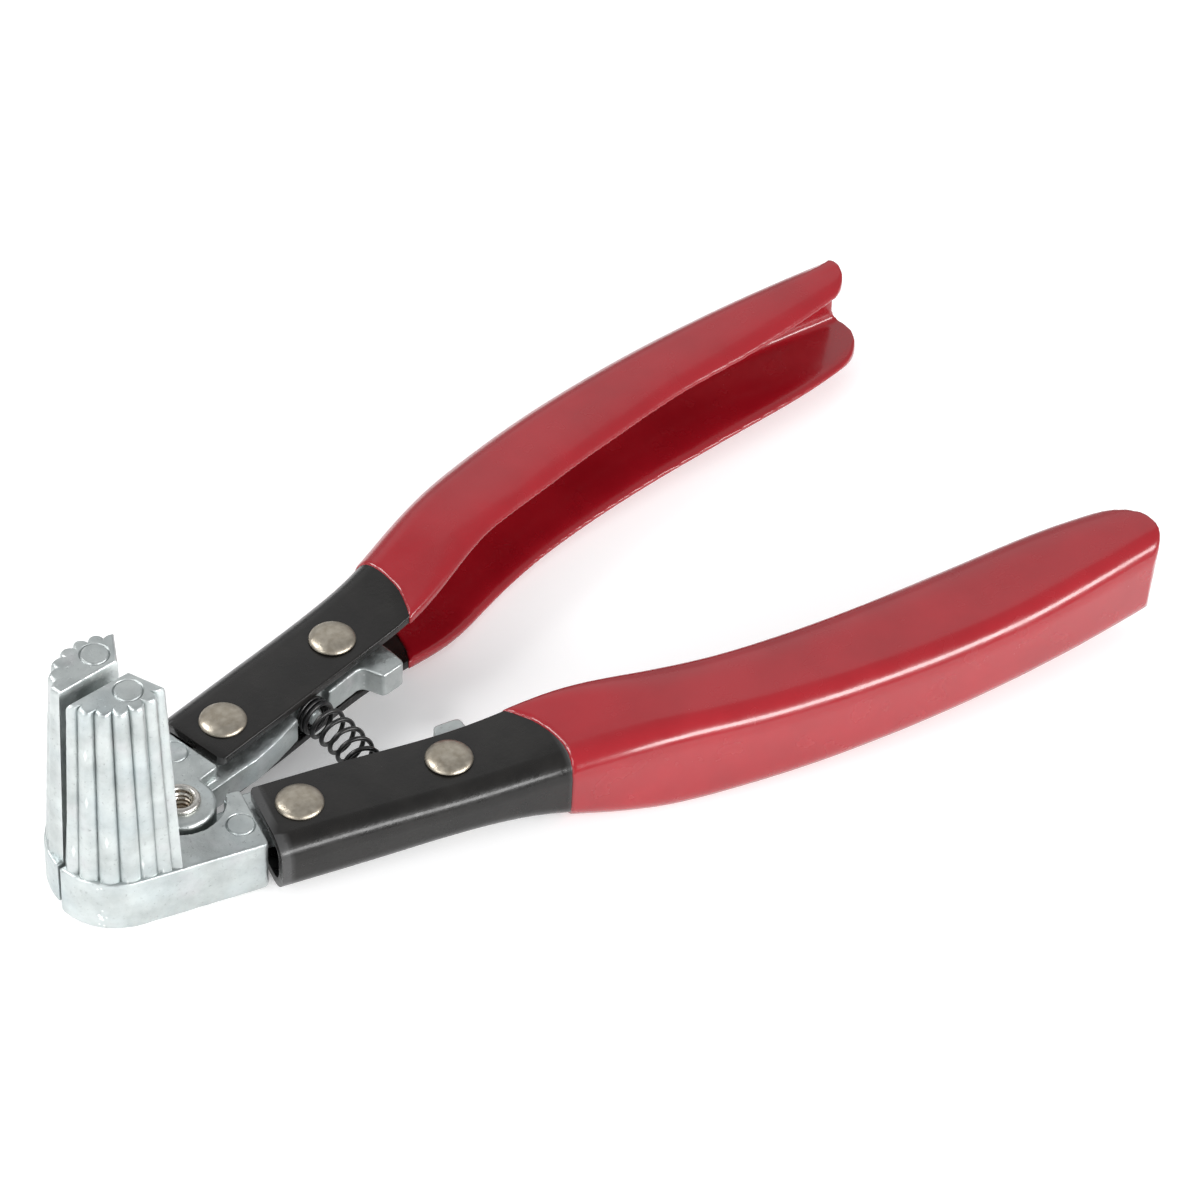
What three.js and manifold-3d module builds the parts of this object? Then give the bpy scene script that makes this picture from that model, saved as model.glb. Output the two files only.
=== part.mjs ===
// Expanding piston pliers: two cast jaws with fluted half-round heads turn on one rivet, and squeezing
// the two channel handles against a coil spring spreads the heads inside a hollow piston.
// Millimetres. The origin is on the pivot axis at the jaws' underside, +X runs to the handle ends and +Z
// up through the heads. The back half lies on the +Y side. The front jaw mirrors the back one but for the
// pivot ear and the depth of its block, and both handles are the same pressing, one of them turned over.
import * as THREE from "three";
import { mergeVertices } from "three/addons/utils/BufferGeometryUtils.js";
import Module from "manifold-3d";

const degree = Math.PI / 180;

// Air between pieces that touch on the real tool
const gap = 0.25;
const runningGap = 0.08;

// Jaws and pivot
const jawHeight = 10.9;
const midHeight = jawHeight / 2;
const earGap = 0.3;
const earRadius = 5.9;
const recessRadius = 7.5;
const pivotShankRadius = 2.8;
const pivotBoreRadius = 2.1;
const pivotFlangeRadius = 3.4;
const pivotFlangeHeight = 0.8;
const pivotBoreFloor = 5.7;
const pivotHeadRadius = 4.4;
const pivotHeadHeight = 1.5;

// Heads: seven rounded ridges on each half, drafted from the base to the top
const headCentre = new THREE.Vector2(-12.4, 0);
const headTop = 47.4;
const ridgeCount = 7;
const ridgePitch = 19 * degree;
const firstRidge = 14 * degree;
const topRidgeRadius = 9.4;
const topFluteDepth = 1.2;
const baseRidgeRadius = 11.35;
const baseFluteDepth = 0.85;
const topSplit = 1.4;
const baseSplit = 0.3;
const splitTurn = 5 * degree;
const notchReach = 3.0;
const headChamfer = 0.5;
const lobeSteps = 6;
const lobeRoundness = 0.6;

// Base block around and behind the head
const blockRadius = 11.7;
const blockBevel = 0.7;
const upperBlockFloor = 1.6;
const shoulder = 10.0;

// Handle axis: the rivets of each handle lie on a line beside the pivot, turned from the X axis
const handleAngle = 12.4 * degree;
const rivetLine = 7.75;
const rivetStations = [17.9, 44.5];
const channelNose = 11.3;
const noseRounding = 1.5;

// Channel: sheet thickness, bend radius, and the profile along the handle axis. One flange is narrower than
// the other, and each ends in its own half ellipse.
const sheet = 1.7;
const bendRadius = 4.0;
const bendSteps = 5;
const endStation = 170.4;
const wideEnd = { offset: 4.3, reach: 10.0, halfWidth: 7.4 };
const narrowEnd = { offset: 6.4, reach: 8.6, halfWidth: 5.3 };
const profileStations = [8, 30, 50, 58, 68, 80, 92, 106, 120, 134, 148, 162, 176, 190];
const wideEdge = [1.4, 1.5, 1.6, 1.2, 1.3, 3.3, 4.4, 4.1, 2.8, 0.9, -1.2, -2.8, -3.2, -3.2];
const narrowEdge = [1.4, 1.5, 1.6, 1.6, 2.9, 5.1, 5.6, 5.8, 5.6, 5.0, 3.2, 1.8, 1.3, 1.3];
const outerEdge = [16.8, 16.9, 17.2, 17.5, 18.7, 20.0, 20.8, 21.0, 20.3, 18.9, 16.7, 13.6, 9.9, 6.1];
const halfHeight = [5.45, 5.45, 5.45, 6.2, 7.8, 9.2, 9.1, 8.75, 8.4, 8.1, 7.9, 8.1, 8.3, 8.3];
const sag = [0, 0, 0, 0.15, 0.3, 0.35, 0.4, 0.4, 0.4, 0.4, 0.4, 0.4, 0.4, 0.4];

// Dipped grip: air to the steel, coat thickness, and the dip line square to the tool's length
const gripGap = 0.2;
const coat = 0.35;
const dipLine = 56.5;

// Tang inside the channel, with its bosses, spring pocket, spring peg and stop lug
const tangHalfThickness = 2.6;
const tangDepth = 12.4;
const neckEnd = 13.2;
const neckDepth = 8.5;
const bossRadius = 3.8;
const pocketStart = 28.9;
const pocketEnd = 36.9;
const pocketFloor = 3.0;
const lugAngle = 8.9 * degree;
const lugNear = 46.2;
const lugFar = 51.1;
const pegRadius = 1.8;
const pegLength = 2.6;

// Handle rivets
const shankRadius = 2.0;
const rivetHeadRadius = 4.08;
const rivetHeadHeight = 1.4;

// Return spring, bowed away from the pivot between its two pockets
const wireRadius = 0.375;
const coilRadius = 3.05;
const coilTurns = 9.5;
const stepsPerTurn = 16;
const springStation = 32.9;
const springBow = 17 * degree;

const wasm = await Module();
wasm.setup();

const materials = {
  zinc: { color: 0xb2bcc0, roughness: 0.35, metalness: 0.9 },
  black: { color: 0x262422, roughness: 0.3, metalness: 0.2 },
  red: { color: 0xa81c24, roughness: 0.25, metalness: 0 },
  nickel: { color: 0xbdb6a6, roughness: 0.35, metalness: 0.95 },
  steel: { color: 0xc4bcae, roughness: 0.25, metalness: 1 },
  spring: { color: 0x151515, roughness: 0.4, metalness: 0.6 },
};

function named(name, geometry, finish) {
  const mesh = new THREE.Mesh(geometry, new THREE.MeshStandardMaterial(materials[finish]));
  mesh.name = name;
  return mesh;
}

// ---- solids ----

function solid(geometry) {
  const bare = geometry.clone();
  bare.deleteAttribute("normal");
  bare.deleteAttribute("uv");
  const merged = mergeVertices(bare, 1e-4);
  return new wasm.Manifold(
    new wasm.Mesh({
      numProp: 3,
      vertProperties: new Float32Array(merged.attributes.position.array),
      triVerts: new Uint32Array(merged.index.array),
    }),
  );
}

function geometryOf(manifold) {
  const mesh = manifold.getMesh();
  const geometry = new THREE.BufferGeometry();
  geometry.setAttribute("position", new THREE.BufferAttribute(mesh.vertProperties, 3));
  geometry.setIndex(new THREE.BufferAttribute(mesh.triVerts, 1));
  const flat = geometry.toNonIndexed();
  flat.computeVertexNormals();
  return flat;
}

// A closed body through rings of equally many points, with flat ends. Each ring turns counter-clockwise
// about the way from the first ring to the last.
function loft(rings) {
  const count = rings[0].length;
  const corners = rings.flat();
  const triangles = [];
  for (let r = 0; r + 1 < rings.length; r++) {
    for (let i = 0; i < count; i++) {
      const next = (i + 1) % count;
      const [a, b] = [r * count + i, r * count + next];
      const [c, d] = [a + count, b + count];
      triangles.push(a, b, d, a, d, c);
    }
  }
  const flatRing = (ring) => {
    const [origin, along] = [ring[0], new THREE.Vector3()];
    const normal = new THREE.Vector3();
    for (let i = 0; i < count; i++) {
      const [p, q] = [ring[i], ring[(i + 1) % count]];
      normal.add(new THREE.Vector3().crossVectors(p, q));
    }
    normal.normalize();
    along.subVectors(ring[1], ring[0]).normalize();
    const across = new THREE.Vector3().crossVectors(normal, along);
    return ring.map((p) => {
      const offset = new THREE.Vector3().subVectors(p, origin);
      return new THREE.Vector2(offset.dot(along), offset.dot(across));
    });
  };
  const lastStart = (rings.length - 1) * count;
  for (const [a, b, c] of THREE.ShapeUtils.triangulateShape(flatRing(rings[0]), [])) {
    triangles.push(a, c, b);
  }
  for (const [a, b, c] of THREE.ShapeUtils.triangulateShape(flatRing(rings.at(-1)), [])) {
    triangles.push(lastStart + a, lastStart + b, lastStart + c);
  }
  const geometry = new THREE.BufferGeometry().setFromPoints(corners);
  geometry.setIndex(triangles);
  return geometry;
}

// An upright cylinder between two heights.
function post(radius, bottom, top, x = 0, y = 0, sides = 40) {
  const geometry = new THREE.CylinderGeometry(radius, radius, top - bottom, sides);
  geometry.rotateX(90 * degree);
  geometry.translate(x, y, (bottom + top) / 2);
  return geometry;
}

// A flat plate of the given outline between two heights.
function plate(points, bottom, top, bevel = 0) {
  const geometry = new THREE.ExtrudeGeometry(new THREE.Shape(points), {
    depth: top - bottom - 2 * bevel,
    bevelEnabled: bevel > 0,
    bevelThickness: bevel,
    bevelSize: bevel,
    bevelOffset: -bevel,
    bevelSegments: 2,
  });
  geometry.translate(0, 0, bottom + bevel);
  return geometry;
}

// A lathe about the Z axis from a profile of [radius, height] pairs.
function turned(profile, sides = 40) {
  const geometry = new THREE.LatheGeometry(
    profile.map(([radius, height]) => new THREE.Vector2(radius, height)),
    sides,
  );
  return geometry.rotateX(90 * degree);
}

// ---- handle frame ----
// Stations run along the handle axis, and the offset is square to it, away from the middle.

function fromHandle(station, offset) {
  const [cos, sin] = [Math.cos(handleAngle), Math.sin(handleAngle)];
  return new THREE.Vector2(station * cos - offset * sin, station * sin + offset * cos);
}

function toHandle(point) {
  const [cos, sin] = [Math.cos(handleAngle), Math.sin(handleAngle)];
  return new THREE.Vector2(point.x * cos + point.y * sin, point.y * cos - point.x * sin);
}

function profile(values) {
  const curve = new THREE.CubicInterpolant(profileStations, values, 1);
  return (station) => curve.evaluate(station)[0];
}

const wideEdgeAt = profile(wideEdge);
const narrowEdgeAt = profile(narrowEdge);
const outerEdgeAt = profile(outerEdge);
const halfHeightAt = profile(halfHeight);
const sagAt = profile(sag);

// One U-shaped section, open towards the other handle, grown by the same amount on every side. Its upper
// flange is the narrow one, or the lower flange if the channel is turned over.
function channelRing(station, grown, turnedOver) {
  const [wide, narrow] = [wideEdgeAt(station) - grown, narrowEdgeAt(station) - grown];
  const [openAbove, openBelow] = turnedOver ? [wide, narrow] : [narrow, wide];
  const web = outerEdgeAt(station) + grown;
  const half = halfHeightAt(station) + grown;
  const wall = sheet + 2 * grown;
  const [outerBend, innerBend] = [bendRadius + grown, bendRadius - sheet - grown];
  const outside = [];
  const inside = [];
  for (let i = 0; i <= bendSteps; i++) {
    const turn = (i / bendSteps) * 90 * degree;
    const [short, rise] = [1 - Math.sin(turn), 1 - Math.cos(turn)];
    outside.push([web - outerBend * short, half - outerBend * rise]);
    inside.unshift([web - wall - innerBend * short, half - wall - innerBend * rise]);
  }
  const below = (points) => points.map(([across, up]) => [across, -up]).reverse();
  const outline = [
    [openAbove, half],
    ...outside,
    ...below(outside),
    [openBelow, -half],
    [openBelow, -half + wall],
    ...below(inside),
    ...inside,
    [openAbove, half - wall],
  ];
  const middle = midHeight - sagAt(station);
  return outline.map(([across, up]) => new THREE.Vector3(station, across, middle + up)).reverse();
}

// The plan outline that a flange is trimmed to: a rounded nose corner and a half ellipse at the far end.
function flangeOutline(nose, edgeAt, grown, end) {
  const [reach, halfWidth] = [end.reach + grown, end.halfWidth + grown];
  const corner = new THREE.Vector2(nose + noseRounding, edgeAt(nose) + noseRounding);
  const outline = [];
  for (let i = 0; i <= 4; i++) {
    const turn = 180 * degree + (i / 4) * 90 * degree;
    outline.push(
      new THREE.Vector2(corner.x + noseRounding * Math.cos(turn), corner.y + noseRounding * Math.sin(turn)),
    );
  }
  outline.push(new THREE.Vector2(corner.x, -30), new THREE.Vector2(endStation, -30));
  for (let i = 0; i <= 16; i++) {
    const turn = -90 * degree + (i / 16) * 180 * degree;
    outline.push(
      new THREE.Vector2(endStation + reach * Math.cos(turn), end.offset + halfWidth * Math.sin(turn)),
    );
  }
  outline.push(new THREE.Vector2(endStation, 40), new THREE.Vector2(nose, 40));
  return outline;
}

// The U swept along the handle, and trimmed in plan above and below its middle.
function channel(grown, nose, turnedOver) {
  const stations = [nose, ...profileStations.filter((s) => s > nose + 2 && s < 170), 171, 176, 184];
  const swept = solid(loft(stations.map((station) => channelRing(station, grown, turnedOver))));
  const wide = flangeOutline(nose, wideEdgeAt, grown, wideEnd);
  const narrow = flangeOutline(nose, narrowEdgeAt, grown, narrowEnd);
  const lower = solid(plate(turnedOver ? narrow : wide, -20, midHeight));
  const upper = solid(plate(turnedOver ? wide : narrow, midHeight, 40));
  return swept.intersect(lower.add(upper));
}

function handle(turnedOver) {
  let body = channel(0, channelNose, turnedOver);
  for (const station of rivetStations) {
    body = body.subtract(solid(post(shankRadius + gap, -5, jawHeight + 5, station, rivetLine)));
  }
  return geometryOf(body);
}

function grip(turnedOver) {
  const skin = channel(gripGap + coat, 40, turnedOver);
  const room = channel(gripGap, 30, turnedOver);
  const dipped = plate(
    [
      toHandle(new THREE.Vector2(dipLine, -60)),
      toHandle(new THREE.Vector2(260, -60)),
      toHandle(new THREE.Vector2(260, 120)),
      toHandle(new THREE.Vector2(dipLine, 120)),
    ],
    -20,
    40,
  );
  return geometryOf(skin.subtract(room).intersect(solid(dipped)));
}

function handleRivet() {
  const head = [];
  for (let i = 0; i <= 5; i++) {
    const turn = (i / 5) * 90 * degree;
    head.push([rivetHeadRadius * Math.cos(turn), rivetHeadHeight * Math.sin(turn)]);
  }
  const top = jawHeight + gap;
  return turned([
    ...head.map(([radius, up]) => [radius, -gap - up]).reverse(),
    [shankRadius, -gap],
    [shankRadius, top],
    ...head.map(([radius, up]) => [radius, top + up]),
  ], 28);
}

// ---- jaws ----

// The fluted outline of one head half at a fraction of its height, from the split round to the notch.
function headRing(fraction, turn, height, inset) {
  const mix = (base, top) => base + (top - base) * fraction;
  const middle = toHandle(headCentre);
  const lineOffset = middle.y + baseRidgeRadius;
  const split = mix(baseSplit, topSplit);
  const [cos, sin] = [Math.cos(turn), Math.sin(turn)];
  const onSplit = (reach) =>
    new THREE.Vector2(headCentre.x + reach * cos - split * sin, headCentre.y + reach * sin + split * cos);
  const points = [onSplit(-mix(baseRidgeRadius - 0.9, topRidgeRadius - 0.9))];
  for (let i = 0; i <= (ridgeCount - 1) * lobeSteps; i++) {
    const phase = i / lobeSteps;
    const bulge = Math.abs(Math.cos(Math.PI * phase)) ** lobeRoundness;
    const angle = firstRidge + phase * ridgePitch + handleAngle;
    const direction = new THREE.Vector2(-Math.cos(angle), Math.sin(angle));
    const top = direction.clone().multiplyScalar(topRidgeRadius - (1 - bulge) * topFluteDepth).add(middle);
    const dent = (1 - bulge) * baseFluteDepth;
    // The base follows a circle as far as the block's straight side, and that side from there on.
    const base =
      angle < 90 * degree
        ? direction.clone().multiplyScalar(baseRidgeRadius - dent).add(middle)
        : new THREE.Vector2(top.x, lineOffset - dent * 0.7);
    const point = base.lerp(top, fraction);
    points.push(fromHandle(point.x, point.y));
  }
  points.push(onSplit(notchReach));
  const heart = new THREE.Vector2(headCentre.x, headCentre.y + 4.5);
  return points
    .map((p) => {
      const inward = heart.clone().sub(p).setLength(inset);
      return new THREE.Vector3(p.x + inward.x, p.y + inward.y, height);
    })
    .reverse();
}

function head(turn) {
  const root = jawHeight - 1.5;
  const slope = 1 / (headTop - jawHeight);
  const shoulderHeight = headTop - headChamfer;
  return loft([
    headRing(-1.5 * slope, turn, root, 0.01),
    headRing(1 - headChamfer * slope, turn, shoulderHeight, 0.01),
    headRing(1, turn, headTop, headChamfer),
  ]);
}

// Base block in plan: round the head, along the handle's side to the shoulder, and back past the pivot.
function blockOutline(turn) {
  const middle = toHandle(headCentre);
  const points = [];
  const start = Math.atan2(baseSplit, blockRadius) - turn;
  const steps = 14;
  const tangent = 90 * degree - handleAngle;
  for (let i = 0; i <= steps; i++) {
    const angle = start + ((tangent - start) * i) / steps;
    points.push(
      new THREE.Vector2(
        headCentre.x - blockRadius * Math.cos(angle),
        headCentre.y + blockRadius * Math.sin(angle),
      ),
    );
  }
  points.push(fromHandle(shoulder, middle.y + blockRadius));
  points.push(fromHandle(shoulder, 1.1));
  points.push(new THREE.Vector2(4.4, 2.1));
  points.push(new THREE.Vector2(2, baseSplit));
  points.push(new THREE.Vector2(headCentre.x + 5, baseSplit + 5 * Math.tan(turn)));
  return points.reverse();
}

// Tang in plan, in the handle frame, from the neck past the spring pocket to the stop lug.
function tangOutline() {
  const lugAt = (radius) =>
    toHandle(new THREE.Vector2(radius * Math.cos(lugAngle), radius * Math.sin(lugAngle)));
  return [
    [1, 2],
    [6.0, -0.2],
    [13.7, -0.45],
    [17.5, -0.75],
    [23, -0.2],
    [pocketStart, 0.8],
    [pocketStart, pocketFloor],
    [pocketEnd, pocketFloor],
    [pocketEnd, 1.3],
    [44.9, 1.5],
    lugAt(lugNear).toArray(),
    lugAt(lugFar).toArray(),
    [lugFar + 0.5, 1.0],
    [lugFar + 0.5, tangDepth - 1.5],
    [lugFar - 1, tangDepth],
    [neckEnd + 1.8, tangDepth],
    [neckEnd, neckDepth],
    [shoulder - 3, neckDepth],
  ].map(([station, offset]) => fromHandle(station, offset));
}

function springPeg() {
  const geometry = new THREE.CylinderGeometry(pegRadius - 0.3, pegRadius, pegLength + 1, 20);
  geometry.rotateX(180 * degree);
  geometry.translate(0, pocketFloor + 1 - (pegLength + 1) / 2, 0);
  geometry.translate(springStation, 0, 0);
  geometry.rotateZ(handleAngle);
  geometry.translate(0, 0, midHeight);
  return geometry;
}

// One casting. The back jaw's ear fills the upper half of the height and its block is a little shallower,
// while the front jaw's ear fills the lower half.
function jaw(earIsUpper, turn) {
  const [earBottom, earTop] = earIsUpper
    ? [midHeight + earGap / 2, jawHeight]
    : [0, midHeight - earGap / 2];
  const [cutBottom, cutTop] = earIsUpper ? [-1, earBottom] : [earTop, jawHeight + 1];
  const blockFloor = earIsUpper ? upperBlockFloor : 0;
  let body = solid(plate(blockOutline(turn), blockFloor, jawHeight, blockBevel));
  body = body.add(solid(plate(tangOutline(), midHeight - tangHalfThickness, midHeight + tangHalfThickness)));
  const bossHalf = midHeight - sheet - gap;
  for (const station of rivetStations) {
    const at = fromHandle(station, rivetLine);
    body = body.add(solid(post(bossRadius, midHeight - bossHalf, midHeight + bossHalf, at.x, at.y)));
  }
  body = body.add(solid(springPeg()));
  body = body.subtract(solid(post(recessRadius, cutBottom, cutTop)));
  body = body.add(solid(post(earRadius, earBottom, earTop)));
  body = body.add(solid(head(turn)));
  body = body.subtract(solid(post(pivotShankRadius + runningGap, -1, jawHeight + 1)));
  if (!earIsUpper) {
    body = body.subtract(solid(post(pivotHeadRadius + gap, -1, pivotHeadHeight + gap)));
  }
  for (const station of rivetStations) {
    const at = fromHandle(station, rivetLine);
    body = body.subtract(solid(post(shankRadius + gap, -5, jawHeight + 5, at.x, at.y, 28)));
  }
  return geometryOf(body);
}

function pivotRivet() {
  const flangeBottom = jawHeight + runningGap;
  const flangeTop = flangeBottom + pivotFlangeHeight;
  const crown = (pivotFlangeRadius + pivotBoreRadius) / 2;
  return turned([
    [0, 0],
    [pivotHeadRadius - 0.3, 0],
    [pivotHeadRadius, 0.3],
    [pivotHeadRadius, pivotHeadHeight],
    [pivotShankRadius, pivotHeadHeight],
    [pivotShankRadius, flangeBottom],
    [pivotFlangeRadius, flangeBottom],
    [pivotFlangeRadius, flangeBottom + 0.3],
    [crown + 0.4, flangeTop],
    [crown - 0.4, flangeTop],
    [pivotBoreRadius, flangeBottom],
    [pivotBoreRadius, pivotBoreFloor],
    [0, pivotBoreFloor - 0.5],
  ]);
}

// ---- spring ----

// A helix wound about an arc in the mid plane from the floor of one pocket to that of the other.
class BowedHelix extends THREE.Curve {
  getPoint(t, target = new THREE.Vector3()) {
    const seat = fromHandle(springStation, pocketFloor);
    const bow = seat.y / Math.sin(springBow);
    const reach = springBow - (wireRadius + gap) / bow;
    const arc = (2 * t - 1) * reach;
    const winding = 2 * Math.PI * coilTurns * t;
    const radius = bow + coilRadius * Math.cos(winding);
    const centreX = seat.x - bow * Math.cos(springBow);
    return target.set(
      centreX + radius * Math.cos(arc),
      radius * Math.sin(arc),
      midHeight + coilRadius * Math.sin(winding),
    );
  }
}

function spring() {
  const section = new THREE.Shape();
  section.absarc(0, 0, wireRadius, 0, 2 * Math.PI);
  return new THREE.ExtrudeGeometry(section, {
    steps: Math.round(coilTurns * stepsPerTurn),
    extrudePath: new BowedHelix(),
    curveSegments: 3,
  });
}

// ---- assembly ----

function half(side, earIsUpper, turn) {
  const group = new THREE.Group();
  group.add(named(`jaw_${side}`, jaw(earIsUpper, turn), "zinc"));
  const handleGroup = new THREE.Group();
  handleGroup.rotation.z = handleAngle;
  const turnedOver = !earIsUpper;
  handleGroup.add(named(`handle_${side}`, handle(turnedOver), "black"));
  handleGroup.add(named(`grip_${side}`, grip(turnedOver), "red"));
  rivetStations.forEach((station, i) => {
    const rivet = named(`rivet_${side}_${["nose", "rear"][i]}`, handleRivet(), "nickel");
    rivet.position.set(station, rivetLine, 0);
    handleGroup.add(rivet);
  });
  group.add(handleGroup);
  return group;
}

const pliers = new THREE.Group();
const back = half("back", true, splitTurn);
const front = half("front", false, -splitTurn);
front.scale.y = -1;
pliers.add(back, front);
pliers.add(named("pivot_rivet", pivotRivet(), "steel"));
pliers.add(named("return_spring", spring(), "spring"));

export default pliers;
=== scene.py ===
"""Expanding piston pliers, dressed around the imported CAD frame.

Every visible piece is built here in mesh code, in millimetres in the CAD's own frame: the pivot axis is Z,
the handles run towards +X, and the back half lies on the +Y side. Objects are made in metres.
"""

import math

import bmesh
import bpy
import numpy as np
from mathutils import Matrix, Vector, noise


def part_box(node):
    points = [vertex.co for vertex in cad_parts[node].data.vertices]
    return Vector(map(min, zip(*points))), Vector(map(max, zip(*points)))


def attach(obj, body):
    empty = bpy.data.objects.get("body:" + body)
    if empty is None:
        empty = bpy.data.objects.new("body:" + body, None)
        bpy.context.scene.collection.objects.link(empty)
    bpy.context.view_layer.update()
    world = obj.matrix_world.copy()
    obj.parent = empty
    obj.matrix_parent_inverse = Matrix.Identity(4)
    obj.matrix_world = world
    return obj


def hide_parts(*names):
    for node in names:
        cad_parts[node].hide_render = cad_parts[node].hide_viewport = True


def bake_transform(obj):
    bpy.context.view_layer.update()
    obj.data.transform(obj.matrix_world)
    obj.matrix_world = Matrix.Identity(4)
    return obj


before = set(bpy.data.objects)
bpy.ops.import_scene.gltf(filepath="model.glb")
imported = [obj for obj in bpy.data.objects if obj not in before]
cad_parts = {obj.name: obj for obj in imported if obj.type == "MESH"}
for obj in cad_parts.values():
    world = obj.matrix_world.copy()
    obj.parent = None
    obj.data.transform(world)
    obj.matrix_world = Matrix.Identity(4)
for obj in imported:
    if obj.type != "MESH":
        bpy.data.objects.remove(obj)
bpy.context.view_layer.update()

MM = 0.001

# ---- driving dimensions, in millimetres and radians ----

HANDLE_ANGLE = math.radians(12.4)
FRONT, BACK = -1, 1
SIDES = {FRONT: "front", BACK: "back"}
HEAD_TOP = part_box("jaw_front")[1].z / MM
JAW_HEIGHT = 10.9
MID = JAW_HEIGHT / 2
BELOW_ALL, ABOVE_ALL = -20, 40

EAR_GAP = 0.3
EAR_RADIUS = 5.9
RECESS_RADIUS = 7.5
SHANK_RADIUS = 2.8
BORE_RADIUS = 2.1
FLANGE_RADIUS = 3.4
BORE_FLOOR = 7.6
PIVOT_HEAD_RADIUS = 4.4
PIVOT_HEAD_HEIGHT = 1.5

HEAD_CENTRE = np.array([-12.4, 0.0])
HEAD_ROUNDING = 0.9
HEAD_ROOT = 1.5
RIDGES = 7
RIDGE_PITCH = math.radians(19)
FIRST_RIDGE = math.radians(14)
TOP_RIDGE_RADIUS = 9.4
TOP_FLUTE_DEPTH = 1.2
BASE_RIDGE_RADIUS = 11.35
BASE_FLUTE_DEPTH = 0.85
STRAIGHT_FLUTE_SHARE = 0.7
LOBE_ROUNDNESS = 0.6
LOBE_STEPS = 18
TOP_SPLIT = 1.4
BASE_SPLIT = 0.3
SPLIT_TURN = math.radians(5)
SPLIT_CORNER = 0.9
NOTCH_REACH = 3.0
INSET_TARGET = HEAD_CENTRE + np.array([0, 4.5])

BLOCK_RADIUS = 11.7
SHOULDER = 10.0
UPPER_BLOCK_FLOOR = 1.6
BLOCK_FOOT_EDGE = 1.1
CAST_EDGE = 0.35
EAR_EDGE = 0.9
HEAD_MARK = (HEAD_CENTRE[0] + 0.6, 4.9)
BLOCK_MARK = (5.2, 10.0)
MARK_RADIUS = 2.35
MARK_GROOVE = 0.22

TANG_HALF = 2.6
TANG_DEPTH = 12.4
NECK_END = 13.2
NECK_DEPTH = 8.5
BOSS_RADIUS = 3.8
POCKET = (28.9, 36.9)
POCKET_FLOOR = 3.0
LUG_ANGLE = math.radians(8.9)
LUG_NEAR, LUG_FAR = 46.2, 51.1
PEG_RADIUS, PEG_TIP_RADIUS, PEG_END_RADIUS = 1.8, 1.6, 1.2
PEG_LENGTH, PEG_CHAMFER, PEG_ROOT = 2.6, 0.4, 1.0

# The sheet's outline, sampled along the handle's axis and joined by splines.
STATIONS = (8, 30, 50, 58, 68, 80, 92, 106, 120, 134, 148, 162, 176, 190)
WIDE_EDGE = (1.4, 1.5, 1.6, 1.2, 1.3, 3.3, 4.4, 4.1, 2.8, 0.9, -1.2, -2.8, -3.2, -3.2)
NARROW_EDGE = (1.4, 1.5, 1.6, 1.6, 2.9, 5.1, 5.6, 5.8, 5.6, 5.0, 3.2, 1.8, 1.3, 1.3)
OUTER_EDGE = (16.8, 16.9, 17.2, 17.5, 18.7, 20.0, 20.8, 21.0, 20.3, 18.9, 16.7, 13.6, 9.9, 6.1)
HALF_HEIGHT = (5.45, 5.45, 5.45, 6.2, 7.8, 9.2, 9.1, 8.75, 8.4, 8.1, 7.9, 8.1, 8.3, 8.3)
SAG = (0, 0, 0, 0.15, 0.3, 0.35, 0.4, 0.4, 0.4, 0.4, 0.4, 0.4, 0.4, 0.4)
SHEET = 1.7
BEND_RADIUS = 4.0
CHANNEL_NOSE = 11.3
CHANNEL_END = 63
NOSE_ROUNDING = 1.5
SHEET_EDGE = 0.4

# Each flange ends in half an ellipse: (offset of its middle, reach along the handle, half width).
END_STATION = 170.4
WIDE_END = (4.3, 10.0, 7.4)
NARROW_END = (6.4, 8.6, 5.3)

# The dipped coat swells between two stations; a lip is the half axes of its outer and its inner ellipse.
COAT = 0.55
INNER_COAT = 0.85
CROWN_START, CROWN_FULL = 58, 84
THIN_LIP = np.array(((0.9, 0.9), (0.6, 0.6)))
LIP_GROWTH = np.array(((6.1, 1.4), (2.4, 0.4)))

# The dip line is a shallow parabola in plan: (station of its crest, the crest's distance from the middle).
DIP_LINE = {BACK: (57.6, 22.5), FRONT: (58.6, 24.0)}
DIP_CURVE = 0.030

RIVET_LINE = 7.75
RIVET_STATIONS = (17.9, 44.5)
RIVET_SHANK = 2.0
RIVET_HEAD_RADIUS = 4.08
RIVET_HEAD_HEIGHT = 1.4
RIVET_RIM = 0.12
RIVET_DISH = 0.07
RIVET_AIR = 0.25

WIRE_RADIUS = 0.42
COIL_RADIUS = 2.95
COIL_TURNS = 10.5
CLOSED_TURNS = 2.4
CLOSED_PITCH = 2 * WIRE_RADIUS * 1.06
SPRING_STATION = 32.9
SPRING_BOW = math.radians(17)

# ---- how finely the meshes are cut, and how rough a casting is ----

JAW_VOXEL, JAW_SOFTENING = 0.22, 4
GRIP_VOXEL, GRIP_SOFTENING = 0.36, 8
UNEVEN_SIZE, UNEVEN_HEIGHT = 1.3, 0.05
SWEEP_STEP = 1.5
LIP_STEPS, INNER_LIP_STEPS = 8, 5
BEND_STEPS, HOLLOW_STEPS = 12, 8
END_STEPS = 48
CORNER_STEPS = 5
EDGE_STEPS = 4
ROUND_SIDES = 72


# ---- the handle's own frame ----


def from_handle(side, station, offset):
    """A plan point from its distance along the handle's axis and its distance away from the middle."""
    c, s = math.cos(HANDLE_ANGLE), math.sin(HANDLE_ANGLE)
    return np.array([station * c - offset * s, side * (station * s + offset * c)])


def to_handle(x, y):
    """The station and offset of a plan point on the back side."""
    c, s = math.cos(HANDLE_ANGLE), math.sin(HANDLE_ANGLE)
    return np.array([x * c + y * s, y * c - x * s])


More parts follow.
